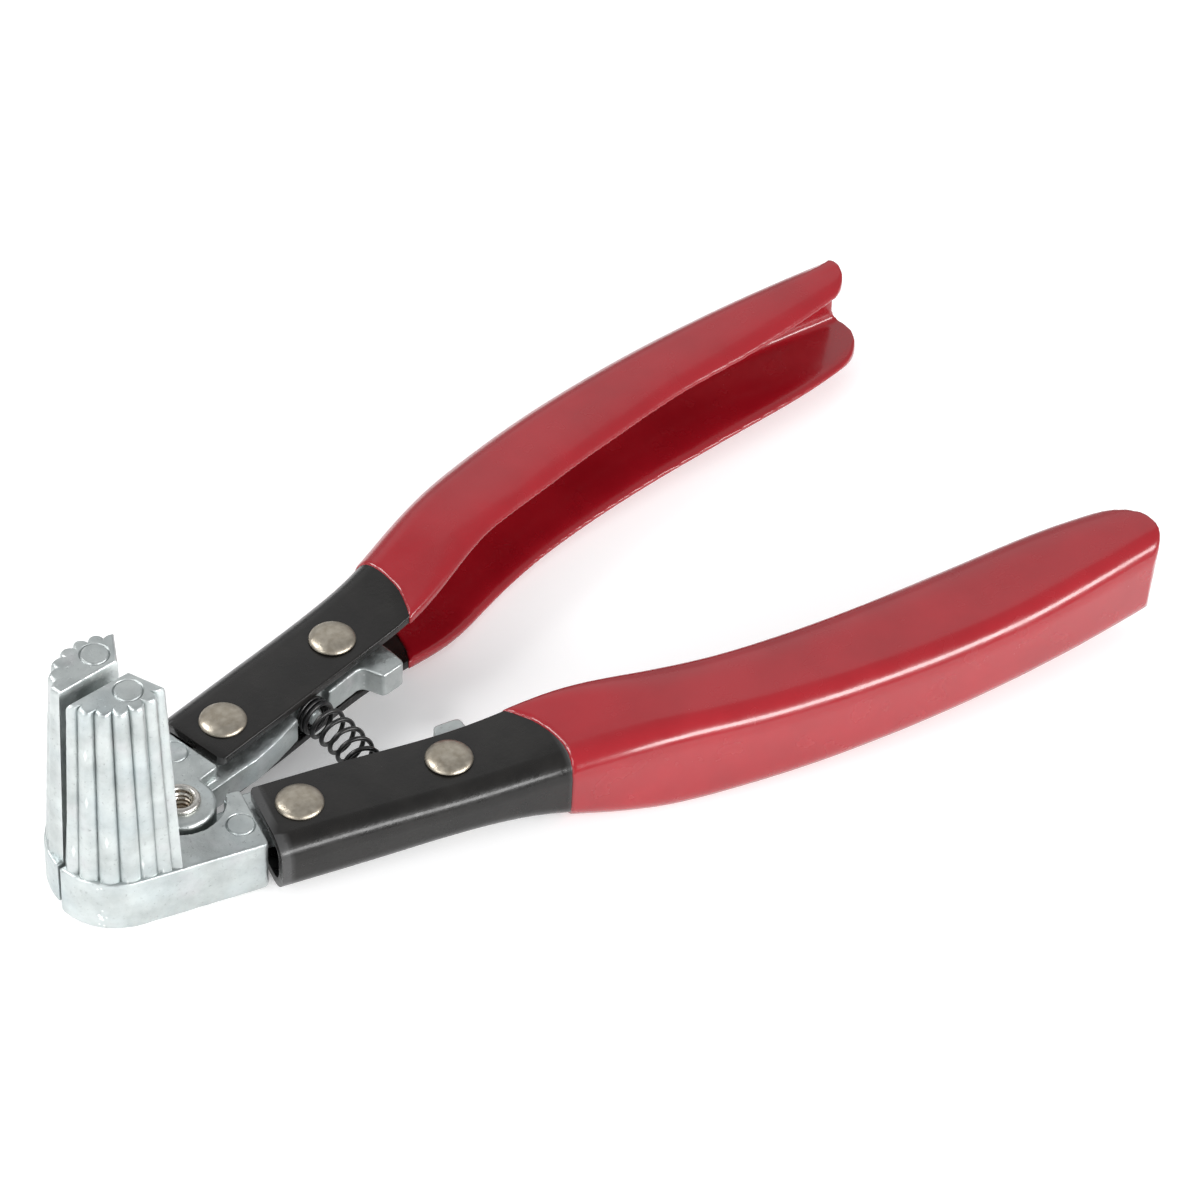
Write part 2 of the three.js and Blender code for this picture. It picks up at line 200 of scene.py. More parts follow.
def spline(xs, ys):
    """A natural cubic spline as a function of one number."""
    x, y = np.array(xs, float), np.array(ys, float)
    h = np.diff(x)
    a = np.eye(len(x))
    b = np.zeros(len(x))
    for i in range(1, len(x) - 1):
        a[i, i - 1 : i + 2] = h[i - 1], 2 * (h[i - 1] + h[i]), h[i]
        b[i] = 6 * ((y[i + 1] - y[i]) / h[i] - (y[i] - y[i - 1]) / h[i - 1])
    m = np.linalg.solve(a, b)

    def at(s):
        i = int(np.clip(np.searchsorted(x, s) - 1, 0, len(h) - 1))
        left, right = x[i + 1] - s, s - x[i]
        return (
            (m[i] * left**3 + m[i + 1] * right**3) / (6 * h[i])
            + (y[i] / h[i] - m[i] * h[i] / 6) * left
            + (y[i + 1] / h[i] - m[i + 1] * h[i] / 6) * right
        )

    return at


wide_edge = spline(STATIONS, WIDE_EDGE)
narrow_edge = spline(STATIONS, NARROW_EDGE)
outer_edge = spline(STATIONS, OUTER_EDGE)
half_height = spline(STATIONS, HALF_HEIGHT)
sag = spline(STATIONS, SAG)


# ---- mesh building ----


def mesh_of(name, vertices, faces):
    """A mesh in metres from points in millimetres, with its faces turned out."""
    mesh = bpy.data.meshes.new(name)
    mesh.from_pydata([tuple(v * MM for v in p) for p in vertices], [], faces)
    bm = bmesh.new()
    bm.from_mesh(mesh)
    bmesh.ops.remove_doubles(bm, verts=bm.verts, dist=1e-7)
    bmesh.ops.recalc_face_normals(bm, faces=bm.faces)
    bm.to_mesh(mesh)
    bm.free()
    return mesh


def object_of(name, mesh):
    made = bpy.data.objects.new(name, mesh)
    bpy.context.scene.collection.objects.link(made)
    return made


def loft(name, rings):
    """A closed body through rings of equally many points, with flat ends."""
    count = len(rings[0])
    faces = []
    for r in range(len(rings) - 1):
        for i in range(count):
            j = (i + 1) % count
            faces.append((r * count + i, r * count + j, (r + 1) * count + j, (r + 1) * count + i))
    faces.append(tuple(range(count)))
    faces.append(tuple((len(rings) - 1) * count + i for i in range(count)))
    return object_of(name, mesh_of(name, [p for ring in rings for p in ring], faces))


def applied(thing):
    """The same object with its modifiers applied."""
    graph = bpy.context.evaluated_depsgraph_get()
    graph.update()
    mesh = bpy.data.meshes.new_from_object(thing.evaluated_get(graph))
    thing.modifiers.clear()
    thing.data = mesh
    return thing


def boolean(target, tool, operation):
    """Combines a body with a tool body, which is used up."""
    modifier = target.modifiers.new("boolean", "BOOLEAN")
    modifier.operation = operation
    modifier.solver = "MANIFOLD"
    modifier.object = tool
    applied(target)
    bpy.data.objects.remove(tool, do_unlink=True)


def add(target, tool):
    boolean(target, tool, "UNION")


def cut(target, tool):
    boolean(target, tool, "DIFFERENCE")


def keep_inside(target, tool):
    boolean(target, tool, "INTERSECT")


def cast(target, voxel, rounds):
    """Rebuilds a body as an even skin and softens its edges, as casting and dipping do."""
    remesh = target.modifiers.new("skin", "REMESH")
    remesh.mode = "VOXEL"
    remesh.voxel_size = voxel * MM
    smooth = target.modifiers.new("soften", "SMOOTH")
    smooth.factor = 0.5
    smooth.iterations = rounds
    return applied(target)


def smooth_shaded(thing):
    thing.data.shade_smooth()
    return thing


def soft_shaded(thing, degrees):
    """Smooth shading that keeps the edges sharper than this."""
    thing.data.shade_smooth()
    thing.data.set_sharp_from_angle(angle=math.radians(degrees))
    return thing


def roughened(thing, size, height, seed):
    """Moves every point a little along its normal, as an uneven casting leaves it."""
    mesh = thing.data
    count = 3 * len(mesh.vertices)
    places, normals = np.empty(count, np.float32), np.empty(count, np.float32)
    mesh.vertices.foreach_get("co", places)
    mesh.vertex_normals.foreach_get("vector", normals)
    places, normals = places.reshape(-1, 3), normals.reshape(-1, 3)
    shift = Vector((seed, 0, 0))
    bumps = [noise.noise(Vector(p) / (size * MM) + shift) * height * MM for p in places]
    mesh.vertices.foreach_set("co", (places + normals * np.array(bumps)[:, None]).ravel())
    mesh.update()
    return thing


def arc(centre, across, up, start, end, steps):
    """Points of an elliptical arc with the given half axes, from one angle to another, in degrees."""
    turns = np.radians(np.linspace(start, end, steps + 1))
    return [(centre[0] + across * math.cos(t), centre[1] + up * math.sin(t)) for t in turns]


def rounded(corners):
    """An outline whose corners (x, y, radius) are turned into curves; nearly straight ones stay points."""
    straight = math.radians(175)
    points = []
    count = len(corners)
    for i, (x, y, radius) in enumerate(corners):
        here = np.array([x, y])
        back = np.array(corners[i - 1][:2]) - here
        ahead = np.array(corners[(i + 1) % count][:2]) - here
        reach = [np.linalg.norm(back), np.linalg.norm(ahead)]
        back, ahead = back / reach[0], ahead / reach[1]
        between = math.acos(float(np.clip(back @ ahead, -1, 1)))
        if radius <= 0 or between > straight:
            points.append(here)
            continue
        trim = min(radius / math.tan(between / 2), 0.45 * min(reach))
        first, last = here + back * trim, here + ahead * trim
        for k in range(CORNER_STEPS + 1):
            t = k / CORNER_STEPS
            points.append((1 - t) ** 2 * first + 2 * t * (1 - t) * here + t**2 * last)
    return points


def shrunk(points, distance):
    """An outline moved inwards by a small distance."""
    tiny, narrowest = 1e-9, 0.6
    p = np.array(points)
    ahead, behind = np.roll(p, -1, 0) - p, p - np.roll(p, 1, 0)
    area = np.sum(p[:, 0] * np.roll(p[:, 1], -1) - np.roll(p[:, 0], -1) * p[:, 1])
    sign = 1 if area > 0 else -1

    def normals(d):
        n = np.stack([-d[:, 1], d[:, 0]], 1) * sign
        return n / np.maximum(np.linalg.norm(n, axis=1, keepdims=True), tiny)

    a, b = normals(ahead), normals(behind)
    mean = a + b
    mean /= np.maximum(np.linalg.norm(mean, axis=1, keepdims=True), tiny)
    stretch = 1 / np.maximum(np.sum(mean * a, axis=1), narrowest)
    return p + mean * (distance * stretch)[:, None]


def edge_round(radius):
    """How far a rounded edge lies in from the end and in from the side, pair by pair; one pair if sharp."""
    if not radius:
        return [(0.0, 0.0)]
    turns = [math.radians(90 * k / EDGE_STEPS) for k in range(EDGE_STEPS + 1)]
    return [(radius * (1 - math.sin(t)), radius * (1 - math.cos(t))) for t in turns]


def prism(name, outline, bottom, top, round_bottom=0.0, round_top=0.0):
    """An upright prism with rounded lower and upper edges."""
    levels = [(bottom + depth, inset) for depth, inset in reversed(edge_round(round_bottom))]
    levels += [(top - depth, inset) for depth, inset in edge_round(round_top)]
    rings = [[(x, y, z) for x, y in shrunk(outline, inset)] for z, inset in levels]
    return loft(name, rings)


def post(radius, bottom, top, x=0.0, y=0.0, round_bottom=0.0, round_top=0.0):
    """An upright round prism."""
    outline = arc((x, y), radius, radius, 0, 360, ROUND_SIDES)[:-1]
    return prism("post", outline, bottom, top, round_bottom, round_top)


def turned(name, profile, x=0.0, y=0.0, sides=ROUND_SIDES):
    """A body turned about an upright axis from (radius, height) pairs that meet the axis or close."""
    vertices, rows, faces = [], [], []
    for radius, height in profile:
        if radius <= 0:
            rows.append([len(vertices)] * sides)
            vertices.append((x, y, height))
            continue
        rows.append(list(range(len(vertices), len(vertices) + sides)))
        for k in range(sides):
            turn = 2 * math.pi * k / sides
            vertices.append((x + radius * math.cos(turn), y + radius * math.sin(turn), height))
    for lower, upper in zip(rows, rows[1:]):
        for k in range(sides):
            j = (k + 1) % sides
            faces.append(tuple(dict.fromkeys((lower[k], lower[j], upper[j], upper[k]))))
    return object_of(name, mesh_of(name, vertices, faces))


# ---- channel handles and dipped grips ----


def flange_edges(side):
    """The open edges of the upper and the lower flange: the front channel is the back one turned over."""
    return (narrow_edge, wide_edge) if side == BACK else (wide_edge, narrow_edge)


def channel_section(side, station, outside, inside, lip):
    """A U-shaped section as (offset, height) pairs, open towards the other handle.

    The sheet grows by outside on its outer face and by inside on its inner face. The lip gives the half axes
    of the ellipses that round the outer and the inner corner of each flange's open edge.
    """
    half = half_height(station) + outside
    web = outer_edge(station) + outside
    wall = SHEET + outside + inside
    bend = BEND_RADIUS + outside
    hollow = BEND_RADIUS - SHEET - inside
    (far_across, far_up), (near_across, near_up) = lip

    def flange(edge_at):
        open_edge = edge_at(station) - outside
        lip_middle = (open_edge + far_across, half - far_up)
        outer = arc(lip_middle, far_across, far_up, 180, 90, LIP_STEPS)
        outer += arc((web - bend, half - bend), bend, bend, 90, 0, BEND_STEPS)
        inner = arc((web - wall - hollow, half - wall - hollow), hollow, hollow, 0, 90, HOLLOW_STEPS)
        lip_middle = (open_edge + near_across, half - wall + near_up)
        inner += arc(lip_middle, near_across, near_up, 270, 180, INNER_LIP_STEPS)
        return outer, inner

    above, below = flange_edges(side)
    above_outer, above_inner = flange(above)
    below_outer, below_inner = flange(below)
    points = above_outer + [(a, -u) for a, u in reversed(below_outer)]
    points += [(a, -u) for a, u in reversed(below_inner)] + above_inner
    return points


def channel_ring(side, station, section):
    """The section's points in the CAD frame."""
    ring = []
    middle = MID - sag(station)
    for offset, height in section:
        x, y = from_handle(side, station, offset)
        ring.append((x, y, middle + height))
    return ring


def flange_outline(side, start, end, grown):
    """The plan outline of one flange, from its start line to the half ellipse at its far end."""
    offset, reach, half_width = end
    outline = list(start)
    outline.append(from_handle(side, END_STATION, 60))
    for turn in np.radians(np.linspace(90, -90, END_STEPS + 1)):
        station = END_STATION + (reach + grown) * math.cos(turn)
        outline.append(from_handle(side, station, offset + (half_width + grown) * math.sin(turn)))
    outline.append(from_handle(side, END_STATION, -40))
    return outline


def trim_ends(made, side, start, grown):
    """Trims a swept channel in plan, to the upper flange's outline above and the lower one's below."""
    ends = (NARROW_END, WIDE_END) if side == BACK else (WIDE_END, NARROW_END)
    above, below = (flange_outline(side, start, end, grown) for end in ends)
    between = 5
    rings = []
    levels = ((below, BELOW_ALL), (below, MID - between), (above, MID + between), (above, ABOVE_ALL))
    for outline, height in levels:
        rings.append([(x, y, height) for x, y in outline])
    keep_inside(made, loft("trim", rings))


def nose_outline(side):
    """All of the handle in plan, less a rounded corner at the nose of its open edge."""
    past_end, past_web, past_edge, corner_end = 80, 40, 9, 24
    open_edge = wide_edge(CHANNEL_NOSE)
    outline = [
        from_handle(side, past_end, past_web),
        from_handle(side, past_end, open_edge - past_edge),
        from_handle(side, corner_end, open_edge - past_edge),
        from_handle(side, corner_end, open_edge),
    ]
    for turn in np.radians(np.linspace(270, 180, 9)):
        station = CHANNEL_NOSE + NOSE_ROUNDING * (1 + math.cos(turn))
        outline.append(from_handle(side, station, open_edge + NOSE_ROUNDING * (1 + math.sin(turn))))
    outline.append(from_handle(side, CHANNEL_NOSE, past_web))
    return outline


def handle(side):
    """The bare channel from its nose to just inside the grip, with its edges broken."""
    lip = ((SHEET_EDGE, SHEET_EDGE), (SHEET_EDGE, SHEET_EDGE))
    rings = []
    for station in [CHANNEL_NOSE, *np.arange(13, CHANNEL_END, SWEEP_STEP), CHANNEL_END]:
        rings.append(channel_ring(side, station, channel_section(side, station, 0, 0, lip)))
    made = loft(f"channel_{SIDES[side]}", rings)
    keep_inside(made, prism("nose", nose_outline(side), BELOW_ALL, ABOVE_ALL))
    bevel = made.modifiers.new("nose_edge", "BEVEL")
    bevel.width = 0.3 * MM
    bevel.segments = 3
    bevel.angle_limit = math.radians(50)
    return soft_shaded(applied(made), 35)


def dip_line(side):
    """The plan line where the dipped coat begins, after one point well inside the tool."""
    crest, middle = DIP_LINE[side]
    line = [np.array([crest - 2, side * -40.0])]
    for y in np.linspace(4, 44, 21):
        line.append(np.array([crest - DIP_CURVE * (y - middle) ** 2, side * y]))
    return line


def grip(side):
    """The dipped coat over the channel: one soft skin, thickest at its crowned lips, with a rounded end."""
    rings = []
    for station in np.arange(44, 186, SWEEP_STEP):
        t = min(max((station - CROWN_START) / (CROWN_FULL - CROWN_START), 0), 1)
        crown = t * t * (3 - 2 * t)
        inside = INNER_COAT * (0.4 + 0.6 * crown)
        outside = COAT * (0.6 + 0.4 * crown)
        section = channel_section(side, station, outside, inside, THIN_LIP + LIP_GROWTH * crown)
        rings.append(channel_ring(side, station, section))
    made = loft(f"dipped_grip_{SIDES[side]}", rings)
    trim_ends(made, side, dip_line(side), COAT)
    return smooth_shaded(cast(made, GRIP_VOXEL, GRIP_SOFTENING))


# ---- jaws ----


def split_turn(side):
    """The parting face's turn in a half's own mirrored frame: both halves share one slanted plane."""
    return SPLIT_TURN if side == BACK else -SPLIT_TURN


def head_ring(side, fraction, height, inset):
    """The fluted outline of one head half, from the split round to the notch."""
    middle = to_handle(*HEAD_CENTRE)
    straight_side = middle[1] + BASE_RIDGE_RADIUS
    split = BASE_SPLIT + (TOP_SPLIT - BASE_SPLIT) * fraction
    c, s = math.cos(split_turn(side)), math.sin(split_turn(side))

    def on_split(reach):
        return np.array([HEAD_CENTRE[0] + reach * c - split * s, HEAD_CENTRE[1] + reach * s + split * c])

    base_reach, top_reach = BASE_RIDGE_RADIUS - SPLIT_CORNER, TOP_RIDGE_RADIUS - SPLIT_CORNER
    points = [on_split(-(base_reach + (top_reach - base_reach) * fraction))]
    for i in range((RIDGES - 1) * LOBE_STEPS + 1):
        phase = i / LOBE_STEPS
        bulge = abs(math.cos(math.pi * phase)) ** LOBE_ROUNDNESS
        angle = FIRST_RIDGE + phase * RIDGE_PITCH + HANDLE_ANGLE
        direction = np.array([-math.cos(angle), math.sin(angle)])
        top = direction * (TOP_RIDGE_RADIUS - (1 - bulge) * TOP_FLUTE_DEPTH) + middle
        dent = (1 - bulge) * BASE_FLUTE_DEPTH
        if angle < math.pi / 2:
            base = direction * (BASE_RIDGE_RADIUS - dent) + middle
        else:
            base = np.array([top[0], straight_side - dent * STRAIGHT_FLUTE_SHARE])
        points.append(from_handle(BACK, *(base + (top - base) * fraction)))
    points.append(on_split(NOTCH_REACH))
    ring = []
    for p in points:
        inward = INSET_TARGET - p
        inward *= inset / np.linalg.norm(inward)
        ring.append((p[0] + inward[0], side * (p[1] + inward[1]), height))
    return ring


def head(side):
    """The tapered head, rooted in the block and rounded at its top edge."""
    slope = 1 / (HEAD_TOP - JAW_HEIGHT)
    rounding_steps = 6
    rings = [head_ring(side, -HEAD_ROOT * slope, JAW_HEIGHT - HEAD_ROOT, 0.0)]
    for height in np.linspace(JAW_HEIGHT, HEAD_TOP - HEAD_ROUNDING, 36):
        rings.append(head_ring(side, (height - JAW_HEIGHT) * slope, height, 0.0))
    for k in range(1, rounding_steps + 1):
        turn = math.radians(90 * k / rounding_steps)
        height = HEAD_TOP - HEAD_ROUNDING * (1 - math.sin(turn))
        rings.append(head_ring(side, 1.0, height, HEAD_ROUNDING * (1 - math.cos(turn))))
    return loft("head", rings)


def block_outline(side):
    """The base block in plan: a round nose, a straight side, a square shoulder and a lap by the ear."""
    middle = to_handle(*HEAD_CENTRE)
    turn = split_turn(side)
    start = math.atan2(BASE_SPLIT, BLOCK_RADIUS) - turn
    tangent = math.pi / 2 - HANDLE_ANGLE
    lap = 5
    corners = []
    for angle in np.linspace(start, tangent, 40):
        x = HEAD_CENTRE[0] - BLOCK_RADIUS * math.cos(angle)
        corners.append((x, HEAD_CENTRE[1] + BLOCK_RADIUS * math.sin(angle), 0))
    corners.append((*from_handle(BACK, SHOULDER, middle[1] + BLOCK_RADIUS), 0.9))
    corners.append((*from_handle(BACK, SHOULDER, 1.1), 0.8))
    corners.append((4.4, 2.1, 0.4))
    corners.append((2.0, BASE_SPLIT, 0))
    corners.append((HEAD_CENTRE[0] + lap, BASE_SPLIT + lap * math.tan(turn), 0))
    return [np.array([x, side * y]) for x, y in rounded(corners)]


def tang_outline(side):
    """The neck and tang in the handle's frame: the open side with its pocket, the stop lug, the far side."""
    near = to_handle(LUG_NEAR * math.cos(LUG_ANGLE), LUG_NEAR * math.sin(LUG_ANGLE))
    far = to_handle(LUG_FAR * math.cos(LUG_ANGLE), LUG_FAR * math.sin(LUG_ANGLE))
    corners = [
        (1.0, 2.0, 0),
        (6.0, -0.2, 1.0),
        (13.7, -0.45, 8.0),
        (17.5, -0.75, 8.0),
        (23.0, -0.2, 12.0),
        (POCKET[0], 0.8, 0.5),
        (POCKET[0], POCKET_FLOOR, 0.6),
        (POCKET[1], POCKET_FLOOR, 0.6),
        (POCKET[1], 1.3, 0.5),
        (44.9, 1.5, 1.6),
        (*near, 0.9),
        (*far, 1.1),
        (LUG_FAR + 0.5, 1.0, 0.8),
        (LUG_FAR + 0.5, TANG_DEPTH - 1.5, 1.0),
        (LUG_FAR - 1, TANG_DEPTH, 1.0),
        (NECK_END + 1.8, TANG_DEPTH, 1.0),
        (NECK_END, NECK_DEPTH, 0.8),
        (SHOULDER - 3, NECK_DEPTH, 0),
    ]
    return [from_handle(side, *p) for p in rounded(corners)]


def spring_peg(side):
    """The tapered peg that stands in the spring pocket, pointing at the other half."""
    sides = 32
    rings = []
    profile = (
        (PEG_ROOT, PEG_RADIUS),
        (-PEG_LENGTH + PEG_CHAMFER, PEG_TIP_RADIUS),
        (-PEG_LENGTH, PEG_END_RADIUS),
    )
    for depth, radius in profile:
        ring = []
        for k in range(sides):
            turn = 2 * math.pi * k / sides
            station = SPRING_STATION + radius * math.cos(turn)
            x, y = from_handle(side, station, POCKET_FLOOR + depth)
            ring.append((x, y, MID + radius * math.sin(turn)))
        rings.append(ring)
    return loft("peg", rings)


def ejector_mark(body, x, y, height):
    """The ring that an ejector pin leaves round its slightly raised disc."""
    inner, outer = MARK_RADIUS - MARK_GROOVE, MARK_RADIUS + MARK_GROOVE
    above = height + 0.5
    profile = [(inner, above), (inner, height), (MARK_RADIUS, height - MARK_GROOVE)]
    profile += [(outer, height), (outer, above), (inner, above)]
    disc_radius, disc_root, disc_rise, disc_edge = MARK_RADIUS - 0.2, 1, 0.1, 0.05
    ring = turned("ring", profile, x, y)
    add(body, post(disc_radius, height - disc_root, height + disc_rise, x, y, 0, disc_edge))
    cut(body, ring)


def jaw(side):
    """One casting: block, neck, tang with bosses, pivot ear and fluted head."""
    ear_is_upper = side == BACK
    ear = (MID + EAR_GAP / 2, JAW_HEIGHT) if ear_is_upper else (0.0, MID - EAR_GAP / 2)
    recess = (-1.0, ear[0]) if ear_is_upper else (ear[1], JAW_HEIGHT + 1)
    ear_rounds = (0.0, EAR_EDGE) if ear_is_upper else (EAR_EDGE, 0.0)
    floor = UPPER_BLOCK_FLOOR if ear_is_upper else 0.0
    rivets = [from_handle(side, station, RIVET_LINE) for station in RIVET_STATIONS]
    boss = MID - SHEET - RIVET_AIR
    pivot_air = 0.08
    drill = (-2, JAW_HEIGHT + 2)

    name = f"jaw_casting_{SIDES[side]}"
    body = prism(name, block_outline(side), floor, JAW_HEIGHT, BLOCK_FOOT_EDGE, CAST_EDGE)
    add(body, prism("tang", tang_outline(side), MID - TANG_HALF, MID + TANG_HALF, CAST_EDGE, CAST_EDGE))
    for x, y in rivets:
        add(body, post(BOSS_RADIUS, MID - boss, MID + boss, x, y))
    add(body, spring_peg(side))
    cut(body, post(RECESS_RADIUS, *recess))
    add(body, post(EAR_RADIUS, *ear, 0, 0, *ear_rounds))
    cast(body, JAW_VOXEL, JAW_SOFTENING)
    add(body, head(side))
    ejector_mark(body, HEAD_MARK[0], side * HEAD_MARK[1], HEAD_TOP)
    ejector_mark(body, BLOCK_MARK[0], side * BLOCK_MARK[1], JAW_HEIGHT)
    cut(body, post(SHANK_RADIUS + pivot_air, *drill))
    if not ear_is_upper:
        cut(body, post(PIVOT_HEAD_RADIUS + RIVET_AIR, drill[0], PIVOT_HEAD_HEIGHT + RIVET_AIR))
    for x, y in rivets:
        cut(body, post(RIVET_SHANK + RIVET_AIR, *drill, x, y))
    return soft_shaded(roughened(body, UNEVEN_SIZE, UNEVEN_HEIGHT, side), 32)


# ---- fasteners ----


def rivet(side, which, station):
    """A shank with two domed heads, each a little dished by the tool that set it."""
    dish_middle, dish_width, fullness = 0.4, 1.1, 0.9
    x, y = from_handle(side, station, RIVET_LINE)
    dome = [(RIVET_HEAD_RADIUS - RIVET_RIM, 0.0), (RIVET_HEAD_RADIUS, RIVET_RIM)]
    for turn in np.radians(np.linspace(8, 84, 16)):
        radius = RIVET_HEAD_RADIUS * math.cos(turn)
        dish = RIVET_DISH * math.exp(-((radius - dish_middle) / dish_width) ** 2)
        dome.append((radius, RIVET_HEAD_HEIGHT * math.sin(turn) ** fullness - dish))
    dome.append((0.0, RIVET_HEAD_HEIGHT - RIVET_DISH))
    seated = 0.22
    low, high = -RIVET_AIR + seated, JAW_HEIGHT + RIVET_AIR - seated
    profile = [(r, low - h) for r, h in reversed(dome)]
    profile += [(RIVET_SHANK, low), (RIVET_SHANK, high)]
    profile += [(r, high + h) for r, h in dome]
    return smooth_shaded(turned(f"handle_rivet_{SIDES[side]}_{which}", profile, x, y))


def pivot():
    """The pivot rivet: flat head below, blind bore with tool marks, and a rolled ring above."""
    base = JAW_HEIGHT + 0.08
    ring_middle = (FLANGE_RADIUS + BORE_RADIUS) / 2
    ring_half = (FLANGE_RADIUS - BORE_RADIUS) / 2
    ring_lift, ring_rise = 0.22, 0.62
    bore_taper, ripple_height, ripple_pitch = 0.22, 0.1, 0.8
    profile = [(0, 0.0), (PIVOT_HEAD_RADIUS - 0.4, 0.0), (PIVOT_HEAD_RADIUS - 0.1, 0.1)]
    profile += [(PIVOT_HEAD_RADIUS, 0.4), (PIVOT_HEAD_RADIUS, PIVOT_HEAD_HEIGHT)]
    profile += [(SHANK_RADIUS, PIVOT_HEAD_HEIGHT), (SHANK_RADIUS, base)]
    for turn in np.radians(np.linspace(-60, 180, 22)):
        radius = ring_middle + ring_half * math.cos(turn)
        profile.append((radius, base + ring_lift + ring_rise * math.sin(turn)))
    for height in np.linspace(base - 0.1, BORE_FLOOR + 0.3, 40):
        depth = base - height
        ripple = ripple_height * math.sin(depth * 2 * math.pi / ripple_pitch)
        profile.append((BORE_RADIUS - 0.05 - bore_taper * depth + ripple, height))
    profile += [(0.9, BORE_FLOOR), (0.5, BORE_FLOOR - 0.1), (0, BORE_FLOOR - 0.15)]
    return smooth_shaded(turned("pivot_rivet_body", profile, sides=96))


def spring():
    """A bowed compression spring with closed end turns."""
    seat = from_handle(BACK, SPRING_STATION, POCKET_FLOOR)
    bow = seat[1] / math.sin(SPRING_BOW)
    bow_centre = seat[0] - bow * math.cos(SPRING_BOW)
    reach = SPRING_BOW - (WIRE_RADIUS + RIVET_AIR) / bow
    closed_share = CLOSED_TURNS * CLOSED_PITCH / (2 * reach * bow)
    sides, steps_per_turn = 10, 36
    count = int(COIL_TURNS * steps_per_turn)
    centres = []
    for i in range(count + 1):
        turns = COIL_TURNS * i / count
        knots = [0, CLOSED_TURNS, COIL_TURNS - CLOSED_TURNS, COIL_TURNS]
        along = np.interp(turns, knots, [0, closed_share, 1 - closed_share, 1])
        angle = (2 * along - 1) * reach
        winding = 2 * math.pi * turns
        radius = bow + COIL_RADIUS * math.cos(winding)
        height = MID + COIL_RADIUS * math.sin(winding)
        centres.append(np.array([bow_centre + radius * math.cos(angle), radius * math.sin(angle), height]))
    rings = []
    for i, here in enumerate(centres):
        along = centres[min(i + 1, count)] - centres[max(i - 1, 0)]
        along /= np.linalg.norm(along)
        spoke = here - np.array([bow_centre + bow, here[1], MID])
        spoke -= along * (spoke @ along)
        spoke /= np.linalg.norm(spoke)
        other = np.cross(along, spoke)
        ring = []
        for k in range(sides):
            turn = 2 * math.pi * k / sides
            ring.append(tuple(here + WIRE_RADIUS * (math.cos(turn) * spoke + math.sin(turn) * other)))
        rings.append(ring)
    return smooth_shaded(loft("coil_spring", rings))


# ---- materials ----


